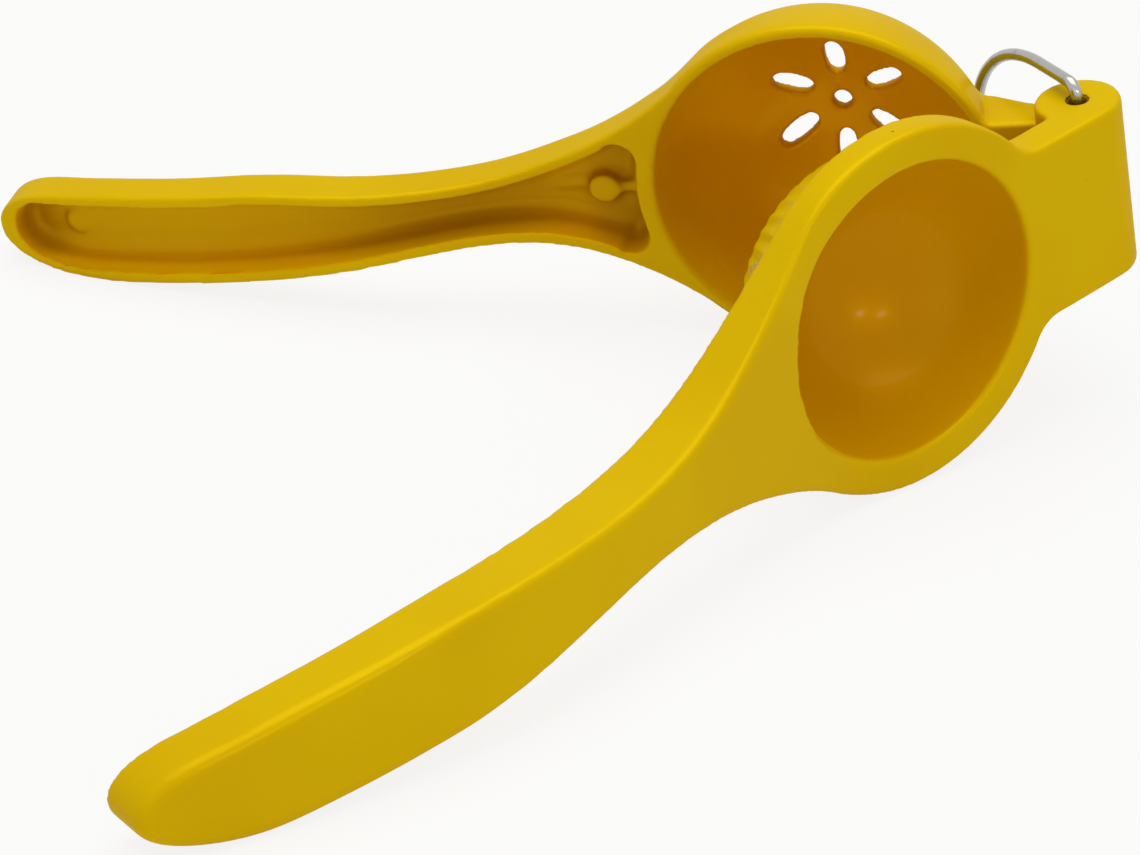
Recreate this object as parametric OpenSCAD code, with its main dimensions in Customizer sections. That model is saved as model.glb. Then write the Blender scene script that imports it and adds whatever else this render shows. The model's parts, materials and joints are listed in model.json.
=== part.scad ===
// Hinged lemon squeezer: two enamelled castings, the press half and the cup half,
// turn on the straight side of one bent wire ring, whose other side is a hanging loop.
//
// Each half is drawn in its own frame: x runs from the hinge axis towards the handle's
// end, y points outward from the parting plane, and z runs along the hinge axis.
// The two halves are then opened about the hinge and laid on their side, so that
// a bowl edge, a flange edge and both handle ends touch the ground plane z = 0.

/* [Opening] */
// Angle between the two parting planes as the squeezer lies
opening = 51; // [10:1:110]
// Widest angle between the two parting planes
opening_max = 125; // [110:1:128]

/* [Plan outline of both halves] */
// Distance from the hinge axis to the centre of the bowls
bowl_offset = 50; // [48:0.5:56]
// Radius of the press half's flange, which the outline of both halves follows
flange_r = 34.8; // [33:0.1:37]
// Distance from the hinge axis to the handle's waist
waist_at = 122; // [114:1:128]
// Half width of the handle at its waist
waist_half_w = 7; // [6:0.25:9]
// Distance from the hinge axis to the handle's widest point
grip_at = 168; // [158:1:178]
// Half width of the handle at its widest point
grip_half_w = 10.1; // [8.5:0.1:12]
// Distance from the hinge axis to the handle's end
reach = 222; // [205:1:235]
// How far the handles' ends drift to one side of their middle line
nose_drift = 2.7; // [0:0.1:4]
// Length of the stretch over which they drift
drift_length = 22; // [15:1:30]

/* [Handles] */
// Depth of both handles from the inner rim to the outer face
handle_depth = 10.8; // [9.5:0.1:13]
// Width of the inner rim around the handle's channel
handle_rim = 2.2; // [1.6:0.1:3]
// Wall left behind the channel
handle_floor = 3; // [2:0.1:4]
// How far the cup half's handle lies inward of its parting plane
cup_handle_drop = 8.7; // [6:0.1:10]
// How far the press half's inner rim lies outward of its parting plane
press_handle_rise = 17.2; // [15:0.1:20]
// Distance from the hinge axis to the start of the curl at the handles' ends
curl_from = 172; // [166:1:185]
// How far the curl carries the handles' ends towards the cup side
curl_height = 5.5; // [2:0.1:7]
// How far inside the flange's edge the press half's neck starts to rise
neck_in = 16.8; // [14:0.1:20]
// How far past the handle's widest point the neck has risen
neck_past = 4; // [2:0.1:6]
// How far inside the flange's edge the press half's inner rim starts to rise
press_rim_in = 9.5; // [8:0.1:12]
// How far before the handle's widest point the press half's inner rim has risen
press_rim_before = 2; // [0:0.1:6]
// Distance from the flange's edge to where the cup half's handle starts to drop
cup_drop_out = 13.5; // [10:0.1:18]
// How far before the handle's widest point the cup half's handle has dropped
cup_drop_before = 18; // [12:0.1:24]
// Distance from the handles' ends to the places where they touch the ground
foot_in = 20; // [12:0.1:26]

/* [Cup half] */
// How far the cup's rim stands out past the press half's flange
rim_overhang = 0.4; // [0:0.1:1]
// Depth of the cup's cavity
cavity_depth = 36.5; // [33:0.5:40]
// How far the cup's bottom leans towards the handle
bowl_lean = 2.2; // [0:0.1:3]
// Thickness of the cup's wall at its rim
cup_wall = 2.2; // [1.8:0.1:3]
// Thickness of the cup's wall at its bottom
cup_floor = 3; // [2:0.1:4]
// Number of drain slots around the centre hole
slot_count = 6; // [4:1:8]
// Length of a drain slot
slot_length = 8.6; // [6:0.1:10]
// Width of a drain slot
slot_width = 3.8; // [3:0.1:4.5]
// Distance from the cup's axis to the middle of a drain slot
slot_ring_r = 10.6; // [9.5:0.1:12]
// Diameter of the centre drain hole
centre_hole_d = 3.8; // [3:0.1:5]
// Wall between the cavity and the handle's channel
channel_end_wall = 2.7; // [2:0.1:4]
// Diameter of the round boss in the cup handle's channel
boss_d = 6.4; // [5:0.1:8]
// Distance from the end of the channel to the middle of the boss
boss_in = 7.9; // [7:0.1:12]
// How far the boss's top lies below the rim
boss_below = 1.6; // [1:0.1:3]
// Thickness of the rib between the boss and the end of the channel
rib_t = 2.2; // [1.5:0.1:3]
// How far the rib's top lies below the boss's top
rib_step = 1.8; // [1:0.1:3]

/* [Press half] */
// Gap between the flange and the cup's rim when the squeezer is closed
flange_gap = 1; // [0.6:0.1:2]
// Height of the press half's flat outer face above the parting plane
face_height = 7.5; // [7:0.1:8.5]
// Gap between the press dome's outer surface and the edge of the cup's cavity
dome_gap = 2.4; // [1.5:0.1:4]
// Height of the dome's centre above the parting plane
dome_centre = 6; // [4:0.1:7]
// Thickness of the dome's wall
dome_wall = 2.75; // [2:0.05:3.5]
// Number of ribs around the dome
rib_count = 32; // [16:2:40]
// How far the ribs stand out of the dome
rib_height = 0.5; // [0.3:0.1:0.8]

/* [Hinge] */
// Length of the hinge block along the hinge axis
block_length = 35.2; // [33:0.1:38]
// Distance from the hinge axis to the place where the block meets the flange
block_reach = 22; // [18:0.5:24]
// Height of the block's inner face above the parting plane
block_gap = 0.3; // [0.15:0.05:0.4]
// Thickness of each of the block's two ears along the hinge axis
ear_t = 4.3; // [3.5:0.1:6]
// Radius of the knuckle on the cup half's tongue
knuckle_r = 5.3; // [4.8:0.1:5.6]
// Clearance around the knuckle and beside the tongue
hinge_gap = 0.3; // [0.2:0.05:0.5]
// Thickness of the tongue where it leaves the block
tongue_t = 7.9; // [7:0.1:8.5]
// Thickness of the tongue where it runs into the cup
tongue_root_t = 14; // [12:0.5:16]
// How far the tongue runs into the cup's wall
tongue_root_in = 7; // [5:0.5:9]
// Length of the tongue's even stretch before it grows thicker
tongue_even = 2.7; // [1:0.1:4]
// Angle left between the tongue and the block at the widest opening
stop_gap = 3; // [2:0.5:5]
// Diameter of the hinge bore
bore_d = 3.8; // [3.4:0.1:4]

/* [Wire ring] */
// Diameter of the ring's wire
wire_d = 2.5; // [2.2:0.1:2.8]
// Straight wire that stands out of the block before the bend
wire_standoff = 0.3; // [0.2:0.1:1.5]
// Radius of the bend beside the block, at the wire's centre
bend_r = 2.5; // [2.2:0.1:4]
// Distance from the hinge axis to the end of the ring's straight leg
leg_end = 12; // [10:0.5:13]
// Radius of the ring's long side curve, at the wire's centre
side_r = 26.5; // [25:0.5:28]
// Radius of the ring's tip, at the wire's centre
tip_r = 12; // [10:0.5:13]
// Gap between the wire's two ends inside the bore
end_gap = 1; // [0.5:0.1:3]
// Gap between the ring's tip and the cup's back, as the squeezer lies
ring_gap = 0.5; // [0.3:0.05:15]

/* [Hidden] */

round_fn = 96;
hole_fn = 48;
over = 1;                 // how far a cutting shape runs past what it cuts
stations = 40;            // steps along a handle's curved lines
bowl_steps = 20;          // steps along a bowl's profile

block_half = block_length / 2;
tongue_half = block_half - ear_t - hinge_gap;
cup_r = flange_r + rim_overhang;
cavity_r = cup_r - cup_wall;
dome_r = cavity_r - dome_gap;
channel_from = bowl_offset + cavity_r + channel_end_wall;
cup_depth = cavity_depth + cup_floor;

// The waist's arc touches the flange's circle and the handle's narrowest place.
waist_run = waist_at - bowl_offset;
waist_arc_r = (pow(waist_run, 2) + pow(waist_half_w, 2) - pow(flange_r, 2)) / (2 * (flange_r - waist_half_w));
waist_arc_z = waist_half_w + waist_arc_r;
tangent_angle = atan2(waist_arc_z, waist_run);
tangent_at = bowl_offset + flange_r * cos(tangent_angle);

// Centres of the ring's bends and curves, in the ring's own plane.
wire_lap = 0.1;
wire_overlap = 0.2;
bend_z = block_half + wire_standoff;
leg_z = bend_z + bend_r;
side_z = leg_z - side_r;
tip_x = leg_end + sqrt(pow(side_r - tip_r, 2) - pow(side_z, 2));
join_angle = atan2(-side_z, tip_x - leg_end);
tip_lap = asin(wire_overlap / tip_r);

// The ring lies along the line from the hinge axis that touches the leaning cup's back.
lean_angle = asin(bowl_lean / cup_depth);
back_long = pow(cup_r * cos(lean_angle), 2) + pow(cup_depth * sin(lean_angle), 2);
back_high = pow(cup_r * sin(lean_angle), 2) + pow(cup_depth * cos(lean_angle), 2);
back_skew = (pow(cup_depth, 2) - pow(cup_r, 2)) * sin(lean_angle) * cos(lean_angle);
back_room = pow(bowl_offset, 2) - back_long;
back_angle = atan((sqrt(pow(back_skew, 2) + back_room * back_high) - back_skew) / back_room);
ring_angle = back_angle + asin((wire_d / 2 + ring_gap) / (tip_x + tip_r));

// Rise of the neck, from the flange to the grip.
neck_from = bowl_offset + flange_r - neck_in;
press_inner_from = bowl_offset + flange_r - press_rim_in;
press_inner_to = grip_at - press_rim_before;
cup_inner_from = bowl_offset + flange_r + cup_drop_out;
cup_inner_to = grip_at - cup_drop_before;
press_outer_rise = press_handle_rise + handle_depth - face_height;
neck_to = grip_at + neck_past;
neck_power = 1.25;
neck_proud = 0.15;         // how far the neck stands out past the flange's edge
nose_power = 3.4;

function smooth(t) = let (k = min(max(t, 0), 1)) k * k * (3 - 2 * k);
function ease_out(t) = pow(sin(90 * min(max(t, 0), 1)), neck_power);
function curl(x) = x < curl_from ? 0 : curl_height * pow((x - curl_from) / (reach - curl_from), 2);

// Half width of both halves at a distance x from the hinge axis.
function round_w(x) = sqrt(max(pow(flange_r + neck_proud, 2) - pow(x - bowl_offset, 2), 0));
function waist_w(x) = waist_arc_z - sqrt(pow(waist_arc_r, 2) - pow(waist_at - x, 2));
function grip_w(x) = waist_half_w + (grip_half_w - waist_half_w) * smooth((x - waist_at) / (grip_at - waist_at));
function nose_w(x) = grip_half_w * sqrt(max(1 - pow((x - grip_at) / (reach - grip_at), nose_power), 0));
function neck_w(x) = x < tangent_at ? round_w(x) : max(round_w(x), waist_w(x));
function half_width(x) = x < waist_at ? neck_w(x) : x < grip_at ? grip_w(x) : nose_w(x);

// Middle line of the handles, which drifts to one side at their ends.
function drift(x) = nose_drift * smooth((x - reach + drift_length) / drift_length);
function low_edge(x) = drift(x) - half_width(x);

// Height of a half's inner rim and outer face at a distance x from the hinge axis.
function cup_inner(x) = -cup_handle_drop * smooth((x - cup_inner_from) / (cup_inner_to - cup_inner_from)) + curl(x);
function cup_outer(x) = cup_inner(x) + handle_depth;
function press_low(x) = smooth((x - press_inner_from) / (press_inner_to - press_inner_from));
function press_inner(x) = flange_gap + (press_handle_rise - flange_gap) * press_low(x) - curl(x);
function press_outer(x) = face_height + press_outer_rise * ease_out((x - neck_from) / (neck_to - neck_from)) - curl(x);

// Stations from one distance to another, closer together towards the far end.
function span(from, to) = [for (i = [0:stations]) from + (to - from) * sin(90 * i / stations)];

// Outline of the handle seen across the parting plane, drawn in by a wall.
module handle_plan(from, wall) {
    xs = span(from, reach - wall);
    upper = [for (x = xs) [x, drift(x) + max(half_width(x) - wall, 0)]];
    lower = [for (i = [len(xs) - 1:-1:0]) [xs[i], 2 * drift(xs[i]) - upper[i][1]]];
    polygon(concat(upper, lower));
}

module cup_side(from, top) {
    xs = span(from, reach);
    low = [for (x = xs) [x, top ? cup_inner(x) : cup_inner(x) - over]];
    high = [for (i = [len(xs) - 1:-1:0]) [xs[i], top ? cup_outer(xs[i]) : cup_outer(xs[i]) - handle_floor]];
    polygon(concat(low, high));
}

module press_side(from, top) {
    xs = span(from, reach);
    low = [for (x = xs) [x, top ? press_inner(x) : press_inner(x) - over]];
    high = [for (i = [len(xs) - 1:-1:0]) [xs[i], top ? press_outer(xs[i]) : press_outer(xs[i]) - handle_floor]];
    polygon(concat(low, high));
}

// A plan outline stands along y, and a side profile stands along z.
module along_y() {
    rotate([90, 0, 0])
        translate([0, 0, -60])
            linear_extrude(height = 120)
                children();
}

module along_z(half) {
    translate([0, 0, -half])
        linear_extrude(height = 2 * half)
            children();
}

// A turned shape stands on the bowls' common axis, pointing outward.
module on_bowl_axis() {
    translate([bowl_offset, 0, 0])
        rotate([-90, 0, 0])
            children();
}

// The cup's own axis leans towards the handle.
module on_cup_axis() {
    on_bowl_axis()
        rotate([0, lean_angle, 0])
            children();
}

// An egg shape about the cup's axis, half of it below the rim.
module egg(radius, depth) {
    turn = 90 / bowl_steps;
    outline = [for (i = [-bowl_steps:bowl_steps]) [radius * cos(turn * i), depth * sin(turn * i)]];
    on_cup_axis()
        rotate_extrude($fn = round_fn)
            polygon(outline);
}

module slot(length, width, height) {
    run = (length - width) / 2;
    translate([-run, -width / 2, 0])
        cube([2 * run, width, height]);
    for (side = [-1, 1])
        translate([side * run, 0, 0])
            cylinder(d = width, h = height, $fn = hole_fn);
}

module hinge_bore() {
    translate([0, 0, -block_half - over])
        cylinder(d = bore_d, h = block_length + 2 * over, $fn = hole_fn);
}

// The cup half: bowl, handle and hinge tongue in one casting.
module cup_casting() {
    difference() {
        union() {
            intersection() {
                egg(cup_r, cup_depth);
                on_bowl_axis()
                    cylinder(r = 2 * cup_r, h = 2 * cup_depth, $fn = round_fn);
            }
            intersection() {
                along_y()
                    handle_plan(tangent_at, 0);
                along_z(cup_r)
                    cup_side(bowl_offset, true);
            }
            tongue();
        }
        egg(cavity_r, cavity_depth);
        on_cup_axis()
            translate([0, 0, cavity_depth / 2])
                drain_holes();
        intersection() {
            along_y()
                handle_plan(channel_from, handle_rim);
            along_z(cup_r)
                cup_side(bowl_offset, false);
        }
        hinge_bore();
    }
    boss();
}

module drain_holes() {
    cylinder(d = centre_hole_d, h = cup_depth, $fn = hole_fn);
    for (i = [0:slot_count - 1])
        rotate([0, 0, 90 + 360 * i / slot_count])
            translate([slot_ring_r, 0, 0])
                slot(slot_length, slot_width, cup_depth);
}

// The tongue tapers from the cup's wall to a knuckle between the block's ears.
module tongue() {
    lean = 180 - opening_max - stop_gap;
    corner = tongue_t / tan(lean);
    root = bowl_offset - cup_r + tongue_root_in;
    along_z(tongue_half) {
        circle(r = knuckle_r, $fn = round_fn);
        polygon([[0, 0], [root, 0], [root, tongue_root_t], [corner + tongue_even, tongue_t], [corner, tongue_t]]);
    }
}

// A round boss and a rib stand on the floor of the cup handle's channel.
module boss() {
    boss_at = channel_from + boss_in;
    floor_at = handle_depth - handle_floor;
    translate([boss_at, boss_below, 0])
        rotate([-90, 0, 0])
            cylinder(d = boss_d, h = floor_at - boss_below + over, $fn = hole_fn);
    translate([channel_from - over, boss_below + rib_step, -rib_t / 2])
        cube([boss_in - boss_d / 2 + 2 * over, floor_at - boss_below - rib_step + over, rib_t]);
}

// The press half: flange, dome, handle and hinge block in one casting.
module press_casting() {
    difference() {
        union() {
            on_bowl_axis()
                translate([0, 0, flange_gap])
                    cylinder(r = flange_r, h = face_height - flange_gap, $fn = round_fn);
            dome();
            intersection() {
                along_y()
                    handle_plan(neck_from, 0);
                along_z(flange_r)
                    press_side(neck_from, true);
            }
            block();
        }
        translate([bowl_offset, dome_centre, 0])
            rotate([-90, 0, 0])
                sphere(r = dome_r - dome_wall, $fn = round_fn);
        on_bowl_axis()
            translate([0, 0, dome_centre])
                cylinder(r = dome_r - dome_wall, h = 2 * face_height, $fn = round_fn);
        intersection() {
            along_y()
                handle_plan(channel_from, handle_rim);
            along_z(flange_r)
                press_side(neck_from, false);
        }
        hinge_bore();
    }
}

// The dome stands inward of the flange, with ribs that follow its curve.
module dome() {
    intersection() {
        translate([bowl_offset, dome_centre, 0])
            rotate([-90, 0, 0])
                union() {
                    sphere(r = dome_r, $fn = round_fn);
                    dome_ribs();
                }
        translate([bowl_offset - flange_r, flange_gap + 0.5 - dome_r * 2, -flange_r])
            cube([2 * flange_r, dome_r * 2, 2 * flange_r]);
    }
}

module dome_ribs() {
    rib_w = PI * dome_r / rib_count;
    difference() {
        sphere(r = dome_r + rib_height, $fn = round_fn);
        for (i = [0:rib_count / 2 - 1])
            rotate([0, 0, 360 / rib_count * (i + 0.5)])
                cube([3 * dome_r, rib_w, 3 * dome_r], center = true);
        cylinder(r = dome_r * 0.55, h = 3 * dome_r, center = true, $fn = round_fn);
    }
}

// The block's outer face is flush with the flange. Its two ears are round, and
// between them only the outer half is closed, so that the tongue can swing.
module block() {
    slot_half = block_half - ear_t;
    difference() {
        union() {
            along_z(block_half)
                circle(r = face_height, $fn = round_fn);
            along_z(block_half)
                translate([0, block_gap])
                    square([block_reach, face_height - block_gap]);
        }
        along_z(slot_half)
            circle(r = knuckle_r + hinge_gap, $fn = round_fn);
        along_z(slot_half)
            translate([-face_height - over, -face_height - over])
                square([block_reach, face_height + over + block_gap]);
    }
}

// The wire ring lies in the plane y = 0, with its hinge side along z. Every second
// stretch is a hair thicker, so that its end closes over the end of the next one.
module wire() {
    for (side = [0, 1])
        mirror([0, 0, side]) {
            translate([0, 0, end_gap / 2])
                cylinder(d = wire_d + wire_lap, h = bend_z - end_gap / 2 + wire_overlap, $fn = hole_fn);
            translate([bend_r, 0, bend_z])
                wire_arc(wire_d, bend_r, 90, 180);
            translate([bend_r - wire_overlap, 0, leg_z])
                rotate([0, 90, 0])
                    cylinder(d = wire_d + wire_lap, h = leg_end - bend_r + 2 * wire_overlap, $fn = hole_fn);
            translate([leg_end, 0, side_z])
                wire_arc(wire_d, side_r, join_angle, 90);
        }
    translate([tip_x, 0, 0])
        wire_arc(wire_d + wire_lap, tip_r, -join_angle - tip_lap, join_angle + tip_lap);
}

// A bent stretch of wire in the plane y = 0, from one angle above +x to another.
module wire_arc(thickness, radius, from, to) {
    rotate([90, 0, 0])
        rotate([0, 0, from])
            rotate_extrude(angle = to - from, $fn = round_fn)
                translate([radius, 0])
                    circle(d = thickness, $fn = hole_fn);
}

// Places of the two halves about the hinge axis, before the squeezer is laid down.
module press_place() {
    rotate([0, 0, 180 + opening / 2])
        children();
}

module cup_place() {
    rotate([0, 0, 180 - opening / 2])
        mirror([0, 1, 0])
            children();
}

function turned(p, a) = [p[0] * cos(a) - p[1] * sin(a), p[0] * sin(a) + p[1] * cos(a), p[2]];
function press_point(p) = turned(p, 180 + opening / 2);
function cup_point(p) = turned([p[0], -p[1], p[2]], 180 - opening / 2);
function unit(v) = v / norm(v);

// The ground plane touches both handles near their ends and the flange's edge.
foot_at = reach - foot_in;
lean_guess = atan2(flange_r + low_edge(foot_at), foot_at - bowl_offset);
cup_foot = cup_point([foot_at, cup_inner(foot_at), low_edge(foot_at)]);
press_foot = press_point([foot_at, press_inner(foot_at), low_edge(foot_at)]);
flange_foot = press_point([bowl_offset + flange_r * sin(lean_guess), flange_gap, -flange_r * cos(lean_guess)]);
ground_up = unit(cross(cup_foot - flange_foot, press_foot - flange_foot));
ground_turn = acos(ground_up[2]);
ground_axis = cross(ground_up, [0, 0, 1]);

// The origin lies on the ground under the middle of the whole squeezer's box.
function about(p, k, a) = p * cos(a) + cross(k, p) * sin(a) + k * (k * p) * (1 - cos(a));
function laid(p) = about(p - flange_foot, unit(ground_axis), ground_turn);
cup_tip_in = laid(cup_point([reach, cup_inner(reach), nose_drift]));
cup_tip_out = laid(cup_point([reach, cup_outer(reach), nose_drift]));
press_tip_out = laid(press_point([reach, press_outer(reach), nose_drift]));
block_corner = laid([face_height, 0, -block_half]);
middle = [(cup_tip_in[0] + block_corner[0]) / 2, (cup_tip_out[1] + press_tip_out[1]) / 2, 0];

module laid_down() {
    translate(-middle)
        rotate(a = ground_turn, v = ground_axis)
            translate(-flange_foot)
                children();
}

module press_half() {
    color([0.87, 0.73, 0.02])
        laid_down()
            press_place()
                press_casting();
}

module cup_half() {
    color([0.85, 0.7, 0.03])
        laid_down()
            cup_place()
                cup_casting();
}

module wire_ring() {
    color([0.78, 0.78, 0.76])
        laid_down()
            cup_place()
                rotate([0, 0, ring_angle])
                    wire();
}

press_half();
cup_half();
wire_ring();
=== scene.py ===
import json
import math

import bmesh
import bpy
from mathutils import Matrix, Vector


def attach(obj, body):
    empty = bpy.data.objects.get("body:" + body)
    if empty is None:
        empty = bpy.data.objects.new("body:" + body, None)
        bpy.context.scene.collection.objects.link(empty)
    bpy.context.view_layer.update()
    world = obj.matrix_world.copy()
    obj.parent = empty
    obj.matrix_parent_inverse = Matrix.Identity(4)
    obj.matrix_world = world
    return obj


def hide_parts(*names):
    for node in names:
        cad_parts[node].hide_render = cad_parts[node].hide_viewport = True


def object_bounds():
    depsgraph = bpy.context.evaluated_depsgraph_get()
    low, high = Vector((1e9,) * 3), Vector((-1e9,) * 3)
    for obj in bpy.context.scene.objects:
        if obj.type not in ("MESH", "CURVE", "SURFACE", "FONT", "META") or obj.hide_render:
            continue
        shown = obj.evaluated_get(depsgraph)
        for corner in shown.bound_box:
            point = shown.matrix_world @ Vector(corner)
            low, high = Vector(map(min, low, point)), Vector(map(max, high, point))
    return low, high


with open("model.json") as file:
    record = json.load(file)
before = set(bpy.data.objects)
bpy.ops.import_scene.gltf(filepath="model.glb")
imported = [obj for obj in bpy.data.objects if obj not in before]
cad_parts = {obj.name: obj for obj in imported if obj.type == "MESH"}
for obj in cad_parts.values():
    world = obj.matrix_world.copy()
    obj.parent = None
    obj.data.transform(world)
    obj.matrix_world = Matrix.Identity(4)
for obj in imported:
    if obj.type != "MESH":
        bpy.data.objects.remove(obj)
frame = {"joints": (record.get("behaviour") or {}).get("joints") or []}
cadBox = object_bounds()
print("frame loaded")

# Both castings are shaped lying flat, in millimetres: x from the hinge to the handle's end,
# y outward from the parting plane, z along the hinge. placeHalf then opens and lays them down.
squeezer = {
    "opening": 51,         # degrees between the two halves as they lie
    "bowlAt": 50,          # hinge axis to the middle of the bowls
    "flangeR": 34.8,
    "waistAt": 122,
    "waistHalfW": 7.0,
    "gripAt": 168,
    "gripHalfW": 10.1,
    "reach": 221.6,        # hinge axis to the handles' ends
    "nosePower": 4.4,
    "noseLength": 10,      # the last stretch, which rounds off
    "driftLength": 22,     # over which the end swings to one side
    "swayAt": 98,          # middle of the stretch in which a neck sways
    "swayLength": 22,
    "sagFrom": 88,
    "sagTo": 205,
    "sagFade": 30,
    "longerFrom": 165,     # where a half's extra length comes in
    "longerLength": 55,
    "curlFrom": 172,
    "curlHeight": 5.5,
    "handleDepth": 10.8,
    "thinning": 0.8,       # the handles get this much thinner towards their ends
    "thinFrom": 150,
    "thinLength": 45,
    "handleRim": 2.3,
    "endRim": 3.9,
    "handleFloor": 3.0,
    "channelEndR": 36.5,   # the channels end on a curve around the bowl
    "channelCornerR": 4.0,
    "rimFlare": 1.2,       # roundness of the channels' inner edge
    "flareBite": 0.3,      # share of that roundness which the cut leaves out
    "cutterDepth": 14,
    "cutterAbove": 3,      # how far a channel's cutter starts above the rim
    "channelDraft": 1.2,
    "channelFillet": 4.0,
    "leanAtBowl": (88, 104, 0.66, 1),      # share of the walls' lean: from, to, first, last
    "leanRoom": 0.85,      # most of the half width that the lean may take
    "boreR": 1.9,
    "boreReach": 30,
    "skin": 0.62,          # cell of the soft cast skin
    "softening": 3,
    "filletPasses": 75,
}

mm = 0.001
joints = {j["name"]: j for j in frame["joints"]}
hingeAt = Vector(joints["jaw_hinge"]["pos_m"])
hingeUp = -Vector(joints["jaw_hinge"]["axis"]).normalized()


def turnHalf(side):
    turn = math.radians(180 + side * squeezer["opening"] / 2)
    lay = Vector((0, 0, 1)).rotation_difference(hingeUp).to_matrix().to_4x4()
    return lay @ Matrix.Rotation(turn, 4, "Z")


def placeHalf(side):
    flip = Matrix.Diagonal((1, side, 1, 1))
    return Matrix.Translation(hingeAt) @ turnHalf(side) @ flip @ Matrix.Scale(mm, 4)


def smoothStep(t):
    t = min(max(t, 0), 1)
    return t * t * (3 - 2 * t)


def between(u, start, end, first, last):
    return first + (last - first) * smoothStep((u - start) / (end - start))


def edgeShare(u, half):
    # how much of the edges' full roundness a half has at a distance from the hinge
    return sum(between(u, *part) for part in half["edgeShare"])


def halfWidth(u, power=squeezer["nosePower"]):
    # flange circle, a waist arc that touches it, the grip, and the rounded end
    s = squeezer
    run = s["waistAt"] - s["bowlAt"]
    radius = (run ** 2 + s["waistHalfW"] ** 2 - s["flangeR"] ** 2) / (2 * (s["flangeR"] - s["waistHalfW"]))
    touch = s["bowlAt"] + s["flangeR"] * run / math.hypot(run, s["waistHalfW"] + radius)
    if u < touch:
        return math.sqrt(max(s["flangeR"] ** 2 - (u - s["bowlAt"]) ** 2, 0))
    if u < s["waistAt"]:
        return s["waistHalfW"] + radius - math.sqrt(radius ** 2 - (s["waistAt"] - u) ** 2)
    if u < s["gripAt"]:
        return between(u, s["waistAt"], s["gripAt"], s["waistHalfW"], s["gripHalfW"])
    t = min((u - s["gripAt"]) / (s["reach"] - s["gripAt"]), 1)
    return s["gripHalfW"] * math.sqrt(1 - t ** power)


def curl(u):
    t = max(u - squeezer["curlFrom"], 0) / (squeezer["reach"] - squeezer["curlFrom"])
    return squeezer["curlHeight"] * t * t


def drift(u, half):
    # how far a half's middle line lies to one side, along the hinge
    s = squeezer
    swing = half["noseDrift"] * smoothStep((u - s["reach"] + s["driftLength"]) / s["driftLength"])
    sway = half["sway"] * math.exp(-((u - s["swayAt"]) / s["swayLength"]) ** 2)
    sag = half["sag"] * smoothStep((u - s["sagFrom"]) / s["sagFade"])
    return swing - sway - sag * smoothStep((s["sagTo"] - u) / s["sagFade"])


def thinned(u):
    s = squeezer
    return s["thinning"] * smoothStep((u - s["thinFrom"]) / s["thinLength"])


def newPiece(name, bm):
    bmesh.ops.recalc_face_normals(bm, faces=bm.faces)
    mesh = bpy.data.meshes.new(name)
    bm.to_mesh(mesh)
    bm.free()
    piece = bpy.data.objects.new(name, mesh)
    bpy.context.scene.collection.objects.link(piece)
    return piece


def applyModifiers(piece):
    graph = bpy.context.evaluated_depsgraph_get()
    mesh = bpy.data.meshes.new_from_object(piece.evaluated_get(graph))
    piece.modifiers.clear()
    piece.data = mesh


def combine(piece, bm, operation):
    other = newPiece("tool", bm)
    cut = piece.modifiers.new("combine", "BOOLEAN")
    cut.operation = operation
    cut.solver = "MANIFOLD"
    cut.object = other
    applyModifiers(piece)
    bpy.data.objects.remove(other)


def stations(start, end, count):
    # closer together towards the far end, where the outlines turn fastest
    return [start + (end - start) * math.sin(math.pi / 2 * i / count) for i in range(count + 1)]


def drawIn(u, z, slope, inset, endInset, width, length):
    # Moves a point of the plan outline inwards; the rounded end shrinks about its own middle.
    nose = squeezer["reach"] - squeezer["noseLength"]
    if u > nose:
        return nose + (u - nose) * (length - endInset) / length, z * (width - inset) / width
    if u > squeezer["gripAt"]:
        return u, z - math.copysign(min(inset, abs(z)), z)
    step = Vector((slope[1], -slope[0])).normalized() * inset
    return u + step.x, z + step.y


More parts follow.
